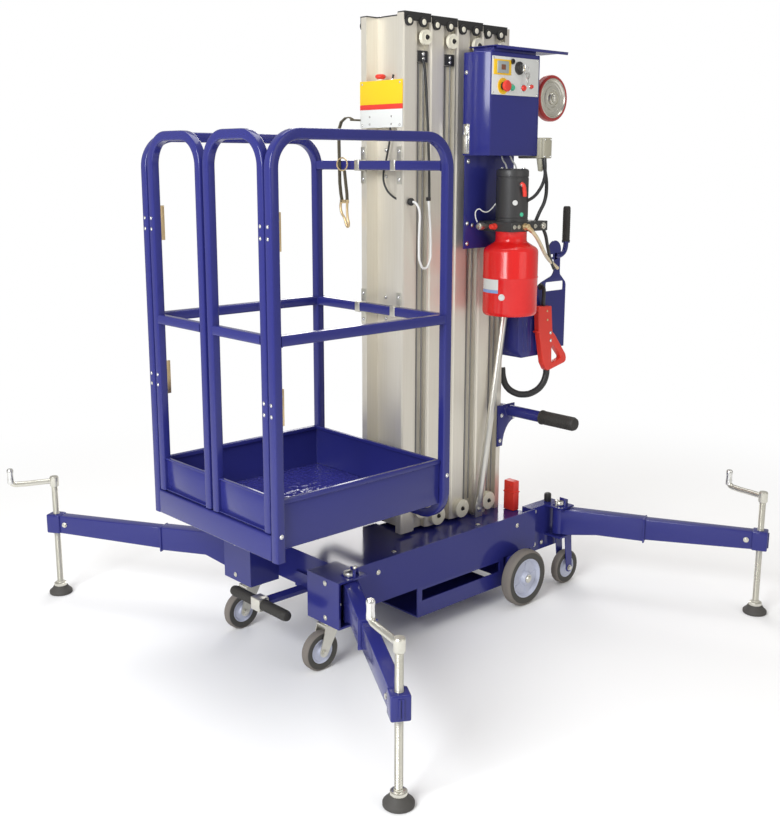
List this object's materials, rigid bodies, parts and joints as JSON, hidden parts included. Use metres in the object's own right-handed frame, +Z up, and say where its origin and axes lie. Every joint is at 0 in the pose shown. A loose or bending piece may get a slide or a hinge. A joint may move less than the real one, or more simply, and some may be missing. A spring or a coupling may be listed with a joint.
{
  "type": "vertical mast lift",
  "caption": "Push-around one-person lift: guard-rail platform on a telescoping aluminium mast, blue wheeled base, swing-out outriggers with screw jacks.",
  "frame": {"origin": "on the floor, midway between the four outrigger pads", "axes": "+Z up, +Y from the platform towards the mast and the push handles, +X towards the side with the oil tank"},
  "size_m": [1.8895, 1.9927, 1.98],
  "materials": {
    "blue_paint": "gloss",
    "red_paint": "gloss",
    "aluminium": "satin",
    "zinc": "satin",
    "black_plastic": "satin",
    "black_paint": "satin",
    "grey_rubber": "matt",
    "red_rubber": "matt",
    "yellow_panel": "satin",
    "pale_panel": "satin"
  },
  "bodies": {
    "base": {"base_frame": "blue_paint", "fork_channel_right": "blue_paint", "fork_channel_left": "blue_paint", "corner_bracket_front_right": "blue_paint", "corner_bracket_front_left": "blue_paint", "corner_bracket_rear_right": "blue_paint", "corner_bracket_rear_left": "blue_paint", "rear_axle": "blue_paint", "tow_bar": "black_paint", "mast_section_1": "aluminium", "mast_head_1": "black_plastic", "mast_brace_right": "aluminium", "mast_brace_left": "aluminium", "mount_plate": "blue_paint", "control_box": "blue_paint", "control_panel": "pale_panel", "control_hood": "blue_paint", "oil_tank": "red_paint", "pump_manifold": "aluminium", "pump_motor": "black_paint", "load_wheel_bracket": "blue_paint", "battery_box": "blue_paint", "handle_plate": "blue_paint", "battery_plug": "red_paint", "push_bar": "blue_paint"},
    "mast_2": {"mast_section_2": "aluminium", "mast_head_2": "black_plastic"},
    "mast_3": {"mast_section_3": "aluminium", "mast_head_3": "black_plastic"},
    "platform": {"mast_section_4": "aluminium", "mast_head_4": "black_plastic", "cage_side_right": "blue_paint", "cage_side_left": "blue_paint", "mid_rail_right": "blue_paint", "mid_rail_left": "blue_paint", "rear_bar_upper": "blue_paint", "rear_bar_mid": "blue_paint", "platform_tray": "blue_paint", "platform_sill": "blue_paint", "platform_station": "yellow_panel"},
    "gate_right": {"gate_right": "blue_paint"},
    "gate_left": {"gate_left": "blue_paint"},
    "outrigger_front_right": {"outrigger_front_right": "blue_paint"},
    "outrigger_front_left": {"outrigger_front_left": "blue_paint"},
    "outrigger_rear_right": {"outrigger_rear_right": "blue_paint"},
    "outrigger_rear_left": {"outrigger_rear_left": "blue_paint"},
    "jack_front_right": {"jack_front_right": "zinc"},
    "jack_front_left": {"jack_front_left": "zinc"},
    "jack_rear_right": {"jack_rear_right": "zinc"},
    "jack_rear_left": {"jack_rear_left": "zinc"},
    "caster_right": {"caster_fork_right": "zinc"},
    "caster_left": {"caster_fork_left": "zinc"},
    "caster_wheel_right": {"caster_wheel_right": "grey_rubber"},
    "caster_wheel_left": {"caster_wheel_left": "grey_rubber"},
    "rear_wheel_right": {"rear_wheel_right": "grey_rubber"},
    "rear_wheel_left": {"rear_wheel_left": "grey_rubber"},
    "rear_small_wheel_right": {"rear_small_wheel_right": "grey_rubber"},
    "rear_small_wheel_left": {"rear_small_wheel_left": "grey_rubber"},
    "load_wheel_right": {"load_wheel_right": "red_rubber"},
    "load_wheel_left": {"load_wheel_left": "red_rubber"}
  },
  "joints": [
    {"name": "mast_2_lift", "type": "slide", "parent": "base", "child": "mast_2", "axis": [0, 0, 1], "range_m": [0, 1.36]},
    {"name": "mast_3_lift", "type": "slide", "parent": "mast_2", "child": "mast_3", "axis": [0, 0, 1], "range_m": [0, 1.36]},
    {"name": "platform_lift", "type": "slide", "parent": "mast_3", "child": "platform", "axis": [0, 0, 1], "range_m": [0, 1.36]},
    {"name": "gate_right_hinge", "type": "hinge", "parent": "platform", "child": "gate_right", "pos_m": [0.2928, -0.7415, 1], "axis": [0, 0, -1], "range_deg": [0, 85], "stiffness_Nm_per_rad": 3},
    {"name": "gate_left_hinge", "type": "hinge", "parent": "platform", "child": "gate_left", "pos_m": [-0.2928, -0.7415, 1], "axis": [0, 0, 1], "range_deg": [0, 85], "stiffness_Nm_per_rad": 3},
    {"name": "outrigger_front_right_swing", "type": "hinge", "parent": "base", "child": "outrigger_front_right", "pos_m": [0.27, -0.467, 0.23], "axis": [0, 0, 1], "range_deg": [0, 106]},
    {"name": "outrigger_front_left_swing", "type": "hinge", "parent": "base", "child": "outrigger_front_left", "pos_m": [-0.27, -0.467, 0.23], "axis": [0, 0, -1], "range_deg": [0, 106]},
    {"name": "outrigger_rear_right_swing", "type": "hinge", "parent": "base", "child": "outrigger_rear_right", "pos_m": [0.265, 0.548, 0.25], "axis": [0, 0, 1], "range_deg": [0, 64]},
    {"name": "outrigger_rear_left_swing", "type": "hinge", "parent": "base", "child": "outrigger_rear_left", "pos_m": [-0.265, 0.548, 0.25], "axis": [0, 0, -1], "range_deg": [0, 64]},
    {"name": "jack_front_right_screw", "type": "slide", "parent": "outrigger_front_right", "child": "jack_front_right", "axis": [0, 0, 1], "range_m": [-0.03, 0.18]},
    {"name": "jack_front_left_screw", "type": "slide", "parent": "outrigger_front_left", "child": "jack_front_left", "axis": [0, 0, 1], "range_m": [-0.03, 0.18]},
    {"name": "jack_rear_right_screw", "type": "slide", "parent": "outrigger_rear_right", "child": "jack_rear_right", "axis": [0, 0, 1], "range_m": [-0.03, 0.18]},
    {"name": "jack_rear_left_screw", "type": "slide", "parent": "outrigger_rear_left", "child": "jack_rear_left", "axis": [0, 0, 1], "range_m": [-0.03, 0.18]},
    {"name": "caster_right_swivel", "type": "hinge", "parent": "base", "child": "caster_right", "pos_m": [0.2075, -0.495, 0.15], "axis": [0, 0, 1], "continuous": true},
    {"name": "caster_left_swivel", "type": "hinge", "parent": "base", "child": "caster_left", "pos_m": [-0.2075, -0.495, 0.15], "axis": [0, 0, 1], "continuous": true},
    {"name": "caster_wheel_right_spin", "type": "hinge", "parent": "caster_right", "child": "caster_wheel_right", "pos_m": [0.2075, -0.535, 0.0625], "axis": [1, 0, 0], "continuous": true},
    {"name": "caster_wheel_left_spin", "type": "hinge", "parent": "caster_left", "child": "caster_wheel_left", "pos_m": [-0.2075, -0.535, 0.0625], "axis": [1, 0, 0], "continuous": true},
    {"name": "rear_wheel_right_spin", "type": "hinge", "parent": "base", "child": "rear_wheel_right", "pos_m": [0.3, 0.31, 0.1], "axis": [1, 0, 0], "continuous": true},
    {"name": "rear_wheel_left_spin", "type": "hinge", "parent": "base", "child": "rear_wheel_left", "pos_m": [-0.3, 0.31, 0.1], "axis": [1, 0, 0], "continuous": true},
    {"name": "rear_small_wheel_right_spin", "type": "hinge", "parent": "base", "child": "rear_small_wheel_right", "pos_m": [0.27, 0.578, 0.0625], "axis": [1, 0, 0], "continuous": true},
    {"name": "rear_small_wheel_left_spin", "type": "hinge", "parent": "base", "child": "rear_small_wheel_left", "pos_m": [-0.27, 0.578, 0.0625], "axis": [1, 0, 0], "continuous": true},
    {"name": "load_wheel_right_spin", "type": "hinge", "parent": "base", "child": "load_wheel_right", "pos_m": [0.15, 0.56, 1.744], "axis": [1, 0, 0], "continuous": true},
    {"name": "load_wheel_left_spin", "type": "hinge", "parent": "base", "child": "load_wheel_left", "pos_m": [-0.15, 0.56, 1.744], "axis": [1, 0, 0], "continuous": true}
  ],
  "couplings": [
    {"joint": "mast_3_lift", "follows": "mast_2_lift", "ratio": 1},
    {"joint": "platform_lift", "follows": "mast_2_lift", "ratio": 1}
  ]
}
